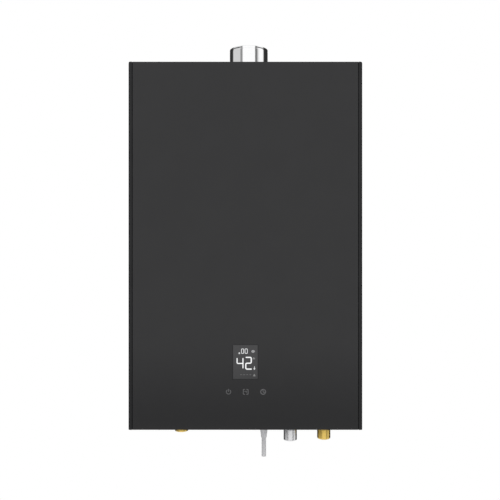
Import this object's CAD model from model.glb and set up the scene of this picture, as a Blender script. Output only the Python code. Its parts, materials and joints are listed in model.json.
"""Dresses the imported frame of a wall-hung tankless gas water heater.

Shapes are drawn in millimetres, along the frame's own axes.
"""

import json
import logging
import math
from dataclasses import dataclass
from enum import Enum
from itertools import product
from typing import Any, Callable, Iterable, Optional, Sequence

import bmesh
import bpy
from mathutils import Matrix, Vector

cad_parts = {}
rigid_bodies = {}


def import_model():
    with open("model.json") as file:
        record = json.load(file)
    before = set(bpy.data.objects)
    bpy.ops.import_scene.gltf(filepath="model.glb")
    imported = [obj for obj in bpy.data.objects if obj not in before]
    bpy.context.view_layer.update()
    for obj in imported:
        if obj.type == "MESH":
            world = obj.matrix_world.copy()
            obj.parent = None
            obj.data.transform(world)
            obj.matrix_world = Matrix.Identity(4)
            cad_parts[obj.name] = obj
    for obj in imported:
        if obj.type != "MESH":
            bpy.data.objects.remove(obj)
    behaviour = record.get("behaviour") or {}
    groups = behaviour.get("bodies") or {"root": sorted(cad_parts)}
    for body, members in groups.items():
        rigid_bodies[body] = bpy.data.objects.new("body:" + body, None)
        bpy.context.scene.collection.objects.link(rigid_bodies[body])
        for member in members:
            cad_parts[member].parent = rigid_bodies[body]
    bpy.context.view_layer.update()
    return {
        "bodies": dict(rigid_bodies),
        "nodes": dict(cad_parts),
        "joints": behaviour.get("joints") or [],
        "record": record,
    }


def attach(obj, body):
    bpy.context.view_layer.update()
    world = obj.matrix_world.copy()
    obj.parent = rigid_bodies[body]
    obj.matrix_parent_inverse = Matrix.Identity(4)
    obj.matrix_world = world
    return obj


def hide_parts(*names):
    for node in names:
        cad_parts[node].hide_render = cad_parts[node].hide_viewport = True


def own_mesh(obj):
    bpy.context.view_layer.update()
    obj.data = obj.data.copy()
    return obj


LOG = logging.getLogger("heater")
MM = 0.001
SHARP_ANGLE = 35.0
MERGE = 1e-4
POLE = 1e-6
DUST_COLOUR = (0.42, 0.4, 0.37)
DUST_ROUGHNESS = 0.5
RELIEF = 0.0004

Point = tuple[float, float, float]
Flat = tuple[float, float]
Colour = tuple[float, float, float]
Form = Callable[[float, float, float], float]
Socket = bpy.types.NodeSocket


class Axis(Enum):
    """The axis that a turned form is turned round."""

    X = 0
    Y = 1
    Z = 2


class Skin(Enum):
    """The fine structure of a surface."""

    GRAIN = "even grain"
    BRUSH = "brushed lines"
    SPANGLE = "zinc crystals"
    TRACES = "circuit traces"


class Nodes:
    """A node tree that is filled a node at a time."""

    def __init__(self, tree: bpy.types.NodeTree) -> None:
        """Keeps the tree and empties it."""
        self.tree = tree
        tree.nodes.clear()

    def put(self, socket: Socket, value: Any) -> None:
        """Sets an input of a node.

        Args:
            socket: The input.
            value: Its own value, or the output that is linked to it.
        """
        if isinstance(value, Socket):
            self.tree.links.new(value, socket)
        else:
            socket.default_value = value

    def add(self, kind: str, inputs: Optional[dict] = None, **settings: Any) -> bpy.types.Node:
        """Adds a node.

        Args:
            kind: The node's type, without the word ShaderNode.
            inputs: Values or sockets for its inputs, by name or place.
            settings: The node's own settings.

        Returns:
            The node.
        """
        whole = kind.startswith(("Node", "Geometry", "Function"))
        node = self.tree.nodes.new(kind if whole else "ShaderNode" + kind)
        for name, value in settings.items():
            setattr(node, name, value)
        for name, value in (inputs or {}).items():
            self.put(node.inputs[name], value)
        return node

    def maths(self, operation: str, *values: Any, clamp: bool = False) -> Socket:
        """Adds a maths node and returns its output."""
        return self.add("Math", dict(enumerate(values)), operation=operation, use_clamp=clamp).outputs[0]

    def mix(self, share: Any, a: Any, b: Any) -> Socket:
        """Mixes two colours, which are sockets or three numbers each, and returns the result."""
        a, b = ((*c, 1.0) if isinstance(c, tuple) else c for c in (a, b))
        return self.add("Mix", {0: share, 6: a, 7: b}, data_type="RGBA").outputs[2]

    def spread(self, value: Any, low: float, high: float) -> Socket:
        """Maps 0 to 1 onto a range and returns the result."""
        return self.add("MapRange", {0: value, 3: low, 4: high}).outputs[0]

    def step(self, value: Any, low: float, high: float) -> Socket:
        """Rises smoothly from 0 to 1 between two values and returns the result."""
        return self.add("MapRange", {0: value, 1: low, 2: high}, interpolation_type="SMOOTHSTEP").outputs[0]

    def place(self) -> Socket:
        """Returns the place on the object."""
        return self.add("TexCoord").outputs["Object"]

    def split(self, vector: Socket) -> Any:
        """Returns the three parts of a vector."""
        return self.add("SeparateXYZ", {0: vector}).outputs

    def noise(self, vector: Socket, scale: float = 1.0, detail: float = 4.0) -> Socket:
        """Returns noise over a vector."""
        return self.add("TexNoise", {"Vector": vector, "Scale": scale, "Detail": detail}).outputs[0]

    def ramp(self, value: Any, stops: Sequence[Flat]) -> Socket:
        """Adds a ramp of greys.

        Args:
            value: What drives the ramp.
            stops: Places and greys.

        Returns:
            The ramp's colour.
        """
        node = self.add("ValToRGB", {0: value})
        line = node.color_ramp.elements
        for place, _ in stops[2:]:
            line.new(place)
        for element, (place, grey) in zip(line, stops):
            element.position = place
            element.color = (grey, grey, grey, 1.0)
        return node.outputs[0]


def blank(name: str) -> tuple[bpy.types.Material, Nodes]:
    """Makes a material.

    Args:
        name: Its name.

    Returns:
        The material and its empty nodes.
    """
    made = bpy.data.materials.new(name)
    made.use_nodes = True
    return made, Nodes(made.node_tree)


class Effects:
    """Node groups that several finishes share."""

    made: dict[str, bpy.types.NodeTree] = {}

    @classmethod
    def place(cls, nodes: Nodes, fill: Callable[[Nodes, Any], dict], **inputs: float) -> Any:
        """Places an effect in a material, and makes its group the first time.

        Args:
            nodes: The material's nodes.
            fill: Adds the group's nodes from its inputs, and returns its outputs by name.
            inputs: The values of the group's inputs.

        Returns:
            The outputs.
        """
        name = fill.__name__
        if name not in cls.made:
            tree = bpy.data.node_groups.new(name, "ShaderNodeTree")
            for key in inputs:
                tree.interface.new_socket(key, in_out="INPUT", socket_type="NodeSocketFloat")
            inner = Nodes(tree)
            ends = fill(inner, inner.add("NodeGroupInput").outputs)
            for key in ends:
                tree.interface.new_socket(key, in_out="OUTPUT", socket_type="NodeSocketFloat")
            inner.add("NodeGroupOutput", ends)
            cls.made[name] = tree
        return nodes.add("Group", inputs, node_tree=cls.made[name]).outputs

    @staticmethod
    def scaled(nodes: Nodes, scale: Any, stretch: Point = (1.0, 1.0, 1.0)) -> Socket:
        """Returns the place on the object, stretched and scaled."""
        pulled = nodes.add("VectorMath", {0: nodes.place(), 1: stretch}, operation="MULTIPLY").outputs[0]
        return nodes.add("VectorMath", {0: pulled, "Scale": scale}, operation="SCALE").outputs[0]

    @classmethod
    def fine(cls, nodes: Nodes, given: Any) -> Socket:
        """Returns a fine even grain."""
        return nodes.noise(cls.scaled(nodes, given["Scale"]), detail=3.0)

    @classmethod
    def clouds(cls, nodes: Nodes, given: Any) -> Socket:
        """Returns soft clouds."""
        return nodes.step(nodes.noise(cls.scaled(nodes, given["Cloud"])), 0.3, 0.7)

    @classmethod
    def grain(cls, nodes: Nodes, given: Any) -> dict:
        """Returns an even grain with soft larger clouds."""
        return {"Fine": cls.fine(nodes, given), "Cloud": cls.clouds(nodes, given)}

    @classmethod
    def brush(cls, nodes: Nodes, given: Any) -> dict:
        """Returns fine lines round the upright axis, as from turning or rolling, with clouds."""
        lines = nodes.noise(cls.scaled(nodes, given["Scale"], (0.02, 0.02, 1.0)))
        return {"Fine": lines, "Cloud": cls.clouds(nodes, given)}

    @classmethod
    def spangle(cls, nodes: Nodes, given: Any) -> dict:
        """Adds a fine grain and the crystals of a zinc coat.

        Args:
            nodes: The group's nodes.
            given: The group's inputs.

        Returns:
            The grain, and the crystals' tones as clouds.
        """
        cells = nodes.add("TexVoronoi", {"Vector": cls.scaled(nodes, given["Cloud"]), "Scale": 4.0})
        tone = nodes.add("SeparateColor", {0: cells.outputs["Color"]}).outputs[0]
        return {"Fine": cls.fine(nodes, given), "Cloud": tone}

    @classmethod
    def traces(cls, nodes: Nodes, given: Any) -> dict:
        """Adds a fine grain and the copper lines under a circuit board's lacquer.

        Args:
            nodes: The group's nodes.
            given: The group's inputs.

        Returns:
            The grain, and the lines as clouds.
        """
        board = nodes.add("Mapping", {0: cls.scaled(nodes, given["Cloud"]), 2: (math.pi / 2, 0.0, 0.0)})
        look = {"Vector": board.outputs[0], "Scale": 6.0, "Mortar Size": 0.06, "Bias": -0.5}
        lines = nodes.add("TexBrick", look, offset=0.37).outputs["Fac"]
        return {"Fine": cls.fine(nodes, given), "Cloud": lines}

    @classmethod
    def wear(cls, nodes: Nodes, given: Any) -> dict:
        """Masks outer edges, with breaks.

        Args:
            nodes: The group's nodes.
            given: The group's inputs.

        Returns:
            The mask.
        """
        ways = {0: nodes.add("Bevel", {"Radius": 0.0012}).outputs[0],
                1: nodes.add("NewGeometry").outputs["Normal"]}
        along = nodes.add("VectorMath", ways, operation="DOT_PRODUCT").outputs["Value"]
        edge = nodes.step(nodes.maths("SUBTRACT", 1.0, along), 0.01, 0.12)
        broken = nodes.step(nodes.noise(cls.scaled(nodes, 160.0), detail=5.0), 0.35, 0.6)
        return {"Mask": nodes.maths("MULTIPLY", nodes.maths("MULTIPLY", edge, broken), given["Amount"])}

    @classmethod
    def dust(cls, nodes: Nodes, given: Any) -> dict:
        """Masks faces that look up, in patches.

        Args:
            nodes: The group's nodes.
            given: The group's inputs.

        Returns:
            The mask.
        """
        up = nodes.step(nodes.split(nodes.add("NewGeometry").outputs["Normal"])[2], 0.55, 1.0)
        patch = nodes.step(nodes.noise(cls.scaled(nodes, 45.0), detail=6.0), 0.3, 0.75)
        return {"Mask": nodes.maths("MULTIPLY", nodes.maths("MULTIPLY", up, patch), given["Amount"])}


@dataclass(frozen=True)
class Finish:
    """A finish: its colour, what it varies to, and the effects on it."""

    name: str
    colour: Colour
    second: Colour
    roughness: float
    metallic: float = 0.0
    vary: float = 0.06
    skin: Skin = Skin.GRAIN
    scale: float = 900.0
    cloud: float = 25.0
    bump: float = 0.05
    specular: float = 0.5
    wear: float = 0.0
    worn: Colour = (0.6, 0.6, 0.6)
    dust: float = 0.0
    glow: Optional[Colour] = None
    coat: float = 0.0

    def material(self) -> bpy.types.Material:
        """Makes the finish's material once and returns it."""
        return bpy.data.materials.get(self.name) or self.make()

    def base(self, nodes: Nodes, cloud: Socket) -> Socket:
        """Returns the colour before wear and dust, from the skin's clouds."""
        return nodes.mix(cloud, self.colour, self.second)

    def make(self) -> bpy.types.Material:
        """Builds the material.

        Returns:
            The material.
        """
        made, nodes = blank(self.name)
        fills = {Skin.GRAIN: Effects.grain, Skin.BRUSH: Effects.brush, Skin.SPANGLE: Effects.spangle,
                 Skin.TRACES: Effects.traces}
        skin = Effects.place(nodes, fills[self.skin], Scale=self.scale, Cloud=self.cloud)
        colour = self.base(nodes, skin["Cloud"])
        rough = nodes.spread(skin["Cloud"], self.roughness - self.vary, self.roughness + self.vary)
        if self.wear:
            mask = Effects.place(nodes, Effects.wear, Amount=self.wear)[0]
            colour = nodes.mix(mask, colour, self.worn)
        if self.dust:
            mask = Effects.place(nodes, Effects.dust, Amount=self.dust)[0]
            colour = nodes.mix(mask, colour, DUST_COLOUR)
            rough = nodes.maths("ADD", rough, nodes.maths("MULTIPLY", mask, DUST_ROUGHNESS), clamp=True)
        relief = nodes.add("Bump", {"Strength": self.bump, "Distance": RELIEF, "Height": skin["Fine"]})
        look = {"Base Color": colour, "Roughness": rough, "Metallic": self.metallic,
                "Specular IOR Level": self.specular, "Normal": relief.outputs[0], "Coat Weight": self.coat}
        if self.glow:
            look |= {"Emission Color": (*self.glow, 1.0), "Emission Strength": 1.0}
        nodes.add("OutputMaterial", {0: nodes.add("BsdfPrincipled", look).outputs[0]})
        return made


@dataclass(frozen=True)
class WindowFinish(Finish):
    """The smoked display window, whose grey fades into the panel's at its edges."""

    centre: Flat = (0.0, -0.1736)
    half: Flat = (0.019, 0.026)
    fade: float = 0.0014

    def base(self, nodes: Nodes, cloud: Socket) -> Socket:
        """Gives the colour before wear and dust.

        Args:
            nodes: The material's nodes.
            cloud: The skin's clouds, which the window doesn't show.

        Returns:
            The colour.
        """
        parts = []
        place = nodes.split(nodes.place())
        for axis, middle, half in zip((Axis.X, Axis.Z), self.centre, self.half):
            away = nodes.maths("ABSOLUTE", nodes.maths("SUBTRACT", place[axis.value], middle))
            parts.append(nodes.step(nodes.maths("SUBTRACT", half, away), 0.0, self.fade))
        return nodes.mix(nodes.maths("MULTIPLY", *parts), self.second, self.colour)


@dataclass(frozen=True)
class HeatedFinish(Finish):
    """Sheet that the flame has darkened towards its lower end."""

    low: float = -0.035
    high: float = 0.09
    drift: float = 0.04
    strength: float = 0.85
    tint: Colour = (0.17, 0.075, 0.06)

    def base(self, nodes: Nodes, cloud: Socket) -> Socket:
        """Gives the colour before wear and dust.

        Args:
            nodes: The material's nodes.
            cloud: The skin's clouds.

        Returns:
            The colour.
        """
        place = nodes.place()
        drift = nodes.spread(nodes.noise(place, 22.0), -self.drift, self.drift)
        level = nodes.step(nodes.maths("ADD", nodes.split(place)[2], drift), self.low, self.high)
        share = nodes.maths("SUBTRACT", self.strength, nodes.maths("MULTIPLY", level, self.strength))
        return nodes.mix(share, super().base(nodes, cloud), self.tint)


def insulation(shade: str, colour: Colour, second: Colour, roughness: float = 0.42) -> Finish:
    """Returns the finish of a wire's insulation."""
    return Finish(shade + " insulation", colour, second, roughness, bump=0.04)


class Finishes:
    """All the heater's finishes."""

    GLASS = Finish("panel glass", (0.0155, 0.0155, 0.0163), (0.0145, 0.0145, 0.0153), 0.2, vary=0.012,
                   bump=0.006, specular=0.3)
    PAINT = Finish("satin powder coat", (0.03, 0.03, 0.0315), (0.0285, 0.0285, 0.03), 0.42, vary=0.02,
                   wear=0.2, worn=(0.1, 0.1, 0.105), dust=0.04)
    TRIM = Finish("dark anodised trim", (0.0165, 0.0165, 0.0172), (0.0145, 0.0145, 0.0152), 0.34,
                  skin=Skin.BRUSH, bump=0.02, specular=0.15)
    WINDOW = WindowFinish("smoked window", (0.0415, 0.0415, 0.043), (0.015, 0.015, 0.016), 0.2, vary=0.01,
                          bump=0.006, specular=0.3)
    LIT = Finish("lit digit", (0.1, 0.1, 0.1), (0.08, 0.08, 0.08), 0.5, glow=(0.84, 0.85, 0.86))
    LIT_DIM = Finish("dim digit", (0.08, 0.08, 0.08), (0.06, 0.06, 0.06), 0.5, glow=(0.6, 0.61, 0.62))
    LIT_SOFT = Finish("soft mark", (0.07, 0.07, 0.07), (0.06, 0.06, 0.06), 0.5, glow=(0.36, 0.36, 0.37))
    LIT_FAINT = Finish("faint mark", (0.06, 0.06, 0.06), (0.05, 0.05, 0.05), 0.5, glow=(0.2, 0.2, 0.2))
    PRINT = Finish("key print", (0.1, 0.1, 0.103), (0.09, 0.09, 0.093), 0.3, specular=0.3)
    DARK = Finish("dark moulding", (0.03, 0.032, 0.035), (0.024, 0.026, 0.029), 0.48, bump=0.12, wear=0.3,
                  worn=(0.09, 0.09, 0.095), dust=0.08)
    PALE = Finish("pale moulding", (0.62, 0.6, 0.55), (0.56, 0.54, 0.48), 0.45, bump=0.08, dust=0.06)
    BLUE = Finish("blue moulding", (0.1, 0.2, 0.35), (0.08, 0.16, 0.3), 0.4)
    CIRCUIT = Finish("green circuit board", (0.02, 0.11, 0.05), (0.035, 0.17, 0.075), 0.3,
                     skin=Skin.TRACES, cloud=30.0, coat=0.3)
    PADS = Finish("conductive rubber", (0.25, 0.25, 0.26), (0.2, 0.2, 0.21), 0.7, bump=0.15)
    ZINC = Finish("zinc sheet", (0.56, 0.57, 0.58), (0.49, 0.5, 0.515), 0.4, 0.9, 0.05, Skin.SPANGLE,
                  cloud=75.0, bump=0.03, dust=0.1)
    FASTENER = Finish("zinc-plated steel", (0.66, 0.66, 0.67), (0.52, 0.52, 0.53), 0.28, 1.0, bump=0.03)
    POLISHED = Finish("polished stainless", (0.94, 0.94, 0.945), (0.91, 0.91, 0.915), 0.07, 1.0, 0.02,
                      Skin.BRUSH, bump=0.01)
    GASKET = Finish("red silicone", (0.35, 0.07, 0.05), (0.28, 0.05, 0.04), 0.6, bump=0.1)
    STEEL = Finish("plain steel", (0.5, 0.51, 0.53), (0.38, 0.39, 0.41), 0.36, 1.0, 0.08, Skin.BRUSH)
    BURNT = Finish("heat-tinted steel", (0.4, 0.38, 0.36), (0.2, 0.17, 0.2), 0.42, 1.0, 0.1, cloud=45.0)
    COPPER = Finish("copper", (0.72, 0.33, 0.19), (0.5, 0.21, 0.12), 0.32, 1.0, 0.08, cloud=16.0, dust=0.05)
    HEATED = HeatedFinish("flame-darkened copper", (0.66, 0.3, 0.17), (0.46, 0.19, 0.11), 0.38, 1.0, 0.08,
                          cloud=16.0)
    WINDING = Finish("enamelled wire", (0.4, 0.12, 0.045), (0.34, 0.1, 0.035), 0.3, 0.6, bump=0.02)
    BRASS = Finish("turned brass", (0.8, 0.575, 0.165), (0.72, 0.5, 0.12), 0.3, 1.0, 0.04, Skin.BRUSH,
                   bump=0.02)
    CHROME = Finish("bright plate", (0.74, 0.74, 0.75), (0.71, 0.71, 0.72), 0.27, 1.0, 0.02, bump=0.006)
    CAST = Finish("cast aluminium", (0.5, 0.51, 0.52), (0.4, 0.41, 0.42), 0.5, 0.85, 0.08, scale=1400.0,
                  bump=0.3, dust=0.06)
    COIL = Finish("black coil wrap", (0.025, 0.025, 0.03), (0.018, 0.018, 0.022), 0.42, bump=0.1, dust=0.08)
    SHEET = Finish("pressed fan sheet", (0.34, 0.35, 0.365), (0.29, 0.3, 0.315), 0.33, 0.95, 0.04,
                   bump=0.04, dust=0.08)
    MOTOR = Finish("black motor paint", (0.05, 0.052, 0.058), (0.04, 0.042, 0.047), 0.38, bump=0.08,
                   wear=0.4, dust=0.08)
    CERAMIC = Finish("glazed ceramic", (0.85, 0.84, 0.8), (0.8, 0.78, 0.72), 0.2, bump=0.01, coat=0.3)
    BOOT = Finish("soft grey moulding", (0.56, 0.56, 0.57), (0.52, 0.52, 0.53), 0.55, bump=0.08)
    SHEATH = Finish("light grey sheath", (0.58, 0.58, 0.59), (0.54, 0.54, 0.55), 0.5, bump=0.06)
    RED_WIRE = insulation("red", (0.5, 0.03, 0.025), (0.42, 0.025, 0.02))
    BLUE_WIRE = insulation("blue", (0.03, 0.08, 0.4), (0.025, 0.06, 0.32))
    WHITE_WIRE = insulation("white", (0.75, 0.74, 0.72), (0.68, 0.67, 0.64))
    BLACK_WIRE = insulation("black", (0.02, 0.02, 0.022), (0.016, 0.016, 0.018), 0.4)
    BROWN_WIRE = insulation("brown", (0.14, 0.06, 0.025), (0.11, 0.045, 0.02))
    GREEN_WIRE = insulation("green", (0.08, 0.3, 0.06), (0.06, 0.24, 0.05))


def arc(x: float, z: float, r: float, start: float, sweep: float, count: int) -> list[Flat]:
    """Gives points on a part of a circle.

    Args:
        x: The centre's first place.
        z: The centre's second place.
        r: The radius.
        start: The first angle, in degrees.
        sweep: How far it goes round, in degrees.
        count: How many steps there are.

    Returns:
        The points, with both ends.
    """
    turns = [math.radians(start + sweep * i / count) for i in range(count + 1)]
    return [(x + r * math.cos(t), z + r * math.sin(t)) for t in turns]


def rounded(width: float, height: float, r: float, at: Flat = (0.0, 0.0)) -> list[Flat]:
    """Gives a rectangle with round corners.

    Args:
        width: Its width.
        height: Its height.
        r: The radius of its corners.
        at: Its middle.

    Returns:
        Its outline.
    """
    a, b = width / 2 - r, height / 2 - r
    outline = []
    for start, x, z in ((0, a, b), (90, -a, b), (180, -a, -b), (270, a, -b)):
        outline += arc(at[0] + x, at[1] + z, r, start, 90, 6)
    return outline


def bow(p: Point, a: Point, b: Point, q: Point, count: int = 32) -> list[Point]:
    """Gives points on a Bezier curve.

    Args:
        p: Its start.
        a: How it leaves the start.
        b: From where it comes to the end.
        q: Its end.
        count: How many steps there are.

    Returns:
        The points.
    """
    ends = [Vector(p), Vector(p) + Vector(a), Vector(q) + Vector(b), Vector(q)]
    points = []
    for i in range(count + 1):
        t = i / count
        shares = ((1 - t) ** 3, 3 * t * (1 - t) ** 2, 3 * t * t * (1 - t), t ** 3)
        points.append(tuple(sum((e * s for e, s in zip(ends, shares)), Vector())))
    return points


def collar(bore: float, r: float, low: float, high: float, slant: Point) -> list[Flat]:
    """Gives the profile of a ring with chamfered outer edges.

    Args:
        bore: Its inner radius.
        r: Its outer radius.
        low: Its lower face.
        high: Its upper face.
        slant: The chamfers' width, and the height of the lower and the upper one.

    Returns:
        The profile.
    """
    wide, below, above = slant
    return [(bore, low), (r - wide, low), (r, low + below), (r, high - above), (r - wide, high), (bore, high)]


def hexagon(flats: float) -> Form:
    """Gives a form that cuts a turned shape to a hexagon, so that its chamfers stay round.

    Args:
        flats: The width across the flats.

    Returns:
        The form.
    """
    bore = 0.46 * flats

    def form(turn: float, r: float, height: float) -> float:
        """Limits the radius to the hexagon, outside the bore."""
        off = (turn + math.pi / 6) % (math.pi / 3) - math.pi / 6
        return min(r, flats / 2 / math.cos(off)) if r > bore else r
    return form


def linked(name: str, data: bpy.types.ID) -> bpy.types.Object:
    """Makes an object in the scene.

    Args:
        name: Its name.
        data: Its mesh, curve, lamp or camera.

    Returns:
        The object.
    """
    made = bpy.data.objects.new(name, data)
    bpy.context.scene.collection.objects.link(made)
    return made


class Shape:
    """A mesh put together from turned, folded and bent forms."""

    def __init__(self) -> None:
        """Starts with nothing."""
        self.bm = bmesh.new()

    def loft(self, rows: Iterable[Iterable[Point]], loop: bool = True, closed: bool = True,
             caps: bool = False) -> "Shape":
        """Joins rows of points, each to the next, with faces.

        Args:
            rows: The rows, which are of one length or a single point.
            loop: Whether the last row is joined to the first.
            closed: Whether each row is a ring. The ends of open rows in a loop are filled.
            caps: Whether the first and the last row are filled.

        Returns:
            The shape.
        """
        rings = [[self.bm.verts.new(p) for p in row] for row in rows]
        for a, b in zip(rings, rings[1:] + rings[:1] if loop else rings[1:]):
            count = max(len(a), len(b))
            for i in range(count if closed else count - 1):
                j = (i + 1) % count
                corners = (a[i % len(a)], a[j % len(a)], b[j % len(b)], b[i % len(b)])
                unique = list(dict.fromkeys(corners))
                if len(unique) > 2:
                    self.bm.faces.new(unique)
        fills = [rings[0], rings[-1]] if caps else []
        if loop and not closed:
            fills += [[ring[end] for ring in rings] for end in (0, -1)]
        for fill in fills:
            self.bm.faces.new(fill)
        return self

    def layers(self, rows: Iterable[tuple[Sequence[Flat], float]], loop: bool = True, closed: bool = True,
               caps: bool = False) -> "Shape":
        """Joins outlines that are seen from the front, each at its own depth, and returns the shape."""
        return self.loft([[(x, y, z) for x, z in line] for line, y in rows], loop, closed, caps)

    def lathe(self, profile: Sequence[Flat], at: Point = (0.0, 0.0, 0.0), axis: Axis = Axis.Z,
              steps: int = 72, loop: bool = True, form: Optional[Form] = None) -> "Shape":
        """Turns a profile round an axis.

        Args:
            profile: Radii and heights, in order.
            at: Where the axis and height zero are.
            axis: The axis.
            steps: How many sides there are.
            loop: Whether the profile's ends are joined.
            form: Changes a radius, from the angle, radius and height.

        Returns:
            The shape.
        """
        rows = []
        for r, height in profile:
            row = []
            for i in range(steps if r > POLE else 1):
                turn = 2 * math.pi * i / steps
                reach = form(turn, r, height) if form and r > POLE else r
                off = [reach * math.cos(turn), reach * math.sin(turn)]
                off.insert(axis.value, height)
                row.append(tuple(a + b for a, b in zip(at, off)))
            rows.append(row)
        return self.loft(rows, loop)

    def block(self, low: Point, high: Point, soft: float = 0.6) -> "Shape":
        """Adds a block with soft edges.

        Args:
            low: Its lowest corner.
            high: Its highest corner.
            soft: The width of its soft edges.

        Returns:
            The shape.
        """
        made = bmesh.ops.create_cube(self.bm, size=1.0)["verts"]
        for v in made:
            v.co = Vector([(a + b) / 2 + c * (b - a) for a, b, c in zip(low, high, v.co)])
        edges = list({e for v in made for e in v.link_edges})
        bmesh.ops.bevel(self.bm, geom=edges, offset=soft, segments=2, profile=0.5, affect="EDGES")
        return self

    def tube(self, points: Sequence[Point], r: float, sides: int) -> "Shape":
        """Adds a round bar along points.

        Args:
            points: The points of its middle line.
            r: Its radius.
            sides: How many sides there are.

        Returns:
            The shape.
        """
        line = [Vector(p) for p in points]
        last = len(line) - 1
        ways = [(line[min(i + 1, last)] - line[max(i - 1, 0)]).normalized() for i in range(last + 1)]
        side = ways[0].orthogonal().normalized()
        turns = arc(0.0, 0.0, r, 0.0, 360.0, sides)[:-1]
        rows = []
        for p, way in zip(line, ways):
            side = (side - way * side.dot(way)).normalized()
            up = way.cross(side)
            rows.append([p + side * u + up * v for u, v in turns])
        return self.loft(rows, False, caps=True)

    def prism(self, outline: Sequence[Flat], front: float, back: float,
              foot: Optional[Sequence[Flat]] = None) -> "Shape":
        """Adds a plate seen from the front, which may widen to a foot at the back, and returns the shape."""
        return self.layers(((outline, front), (foot or outline, back)), False, caps=True)

    def rim(self, outer: Sequence[Flat], inner: Sequence[Flat], front: float, back: float,
            closed: bool = True) -> "Shape":
        """Adds a flat plate between two lines seen from the front, and returns the shape."""
        return self.layers(((outer, front), (inner, front), (inner, back), (outer, back)), closed=closed)

    def bead(self, low: Flat, high: Flat, front: float, back: float, slope: float) -> "Shape":
        """Adds a pressed pad with sloping sides, seen from the front.

        Args:
            low: Its lower left corner.
            high: Its upper right corner.
            front: Its front face.
            back: Its back face.
            slope: How far its sides slope in.

        Returns:
            The shape.
        """
        middle = ((low[0] + high[0]) / 2, (low[1] + high[1]) / 2)
        wide, tall = high[0] - low[0], high[1] - low[1]
        r = min(wide, tall) / 2 - 0.01
        top = rounded(wide - 2 * slope, tall - 2 * slope, r - slope, middle)
        return self.prism(top, front, back, rounded(wide, tall, r, middle))

    def screw_head(self, at: Point, axis: Axis = Axis.Y, way: int = -1, r: float = 4.0,
                   h: float = 2.2) -> "Shape":
        """Adds a pan head with a cross recess.

        Args:
            at: The middle of the face that it bears on.
            axis: The screw's axis.
            way: Which way along the axis the head stands.
            r: Its radius.
            h: Its height.

        Returns:
            The shape.
        """
        def cross(turn: float, reach: float, height: float) -> float:
            """Widens the recess into a cross."""
            return reach * (1 + 1.1 * abs(math.cos(2 * turn)) ** 6) if reach < 0.4 * r else reach
        top = way * h
        dome = [(r * u, top * (0.35 + 0.65 * v)) for u, v in arc(0.0, 0.0, 1.0, 0.0, 65.0, 5)]
        recess = [(0.3 * r, 0.97 * top), (0.24 * r, 0.4 * top), (0.0, 0.35 * top)]
        return self.lathe([(0.0, 0.0), (r, 0.0), *dome, *recess], at, axis, 48, False, cross)

    def mesh(self, name: str, angle: float = SHARP_ANGLE) -> bpy.types.Object:
        """Turns the shape into an object in metres.

        Args:
            name: The object's name.
            angle: Up to how many degrees its edges are smooth.

        Returns:
            The object.
        """
        bmesh.ops.remove_doubles(self.bm, verts=self.bm.verts, dist=MERGE)
        bmesh.ops.recalc_face_normals(self.bm, faces=self.bm.faces)
        bmesh.ops.scale(self.bm, vec=(MM, MM, MM), verts=self.bm.verts)
        data = bpy.data.meshes.new(name)
        self.bm.to_mesh(data)
        self.bm.free()
        data.polygons.foreach_set("use_smooth", [True] * len(data.polygons))
        data.set_sharp_from_angle(angle=math.radians(angle))
        return linked(name, data)


class Marks(Shape):
    """Flat marks between two depths, seen from the front."""

    def __init__(self, front: float, back: float) -> None:
        """Starts with nothing, between two depths."""
        super().__init__()
        self.front, self.back = front, back

    def stroke(self, path: Sequence[Flat], width: float, turn: float = 0.0) -> None:
        """Adds a stroke with round ends.

        Args:
            path: The corners of its middle line.
            width: Its width.
            turn: The radius at each corner of the middle line.
        """
        line = [Vector(path[0])]
        for before, here, after in zip(path, path[1:], path[2:]):
            p, q, r = Vector(before), Vector(here), Vector(after)
            a, b = q + (p - q).normalized() * turn, q + (r - q).normalized() * turn
            line += [a * (1 - t) ** 2 + q * 2 * t * (1 - t) + b * t * t for t in (k / 8 for k in range(9))]
        line.append(Vector(path[-1]))
        left, right = [], []
        for i, p in enumerate(line):
            way = (line[min(i + 1, len(line) - 1)] - line[max(i - 1, 0)]).normalized()
            off = Vector((-way.y, way.x)) * width / 2
            left.append(tuple(p + off))
            right.append(tuple(p - off))
        ends = []
        for p, q in ((line[-1], line[-2]), (line[0], line[1])):
            start = math.degrees(math.atan2(p.y - q.y, p.x - q.x)) + 90
            ends.append(arc(p.x, p.y, width / 2, start, -180, 8)[1:-1])
        self.prism(left + ends[0] + right[::-1] + ends[1], self.front, self.back)

    def hoop(self, at: Flat, r: float, width: float, start: float = 0.0, sweep: float = 360.0) -> None:
        """Adds a ring, or a part of one.

        Args:
            at: Its middle.
            r: Its radius.
            width: Its width.
            start: The first angle, in degrees.
            sweep: How far it goes round, in degrees.
        """
        whole = sweep >= 360
        lines = [arc(*at, r + k * width / 2, start, sweep, max(8, int(sweep / 9))) for k in (1, -1)]
        if whole:
            lines = [line[:-1] for line in lines]
        self.rim(*lines, self.front, self.back, whole)


def bored(piece: bpy.types.Object, cutter: bpy.types.Object) -> bpy.types.Object:
    """Cuts one object out of another.

    Args:
        piece: What is cut.
        cutter: What cuts, which is used up.

    Returns:
        The piece, with its new mesh.
    """
    cut = piece.modifiers.new("bore", "BOOLEAN")
    cut.object, cut.operation, cut.solver = cutter, "DIFFERENCE", "EXACT"
    bpy.context.view_layer.update()
    shape = bpy.data.meshes.new_from_object(piece.evaluated_get(bpy.context.evaluated_depsgraph_get()))
    piece.modifiers.clear()
    piece.data = shape
    bpy.data.objects.remove(cutter)
    return piece


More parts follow.
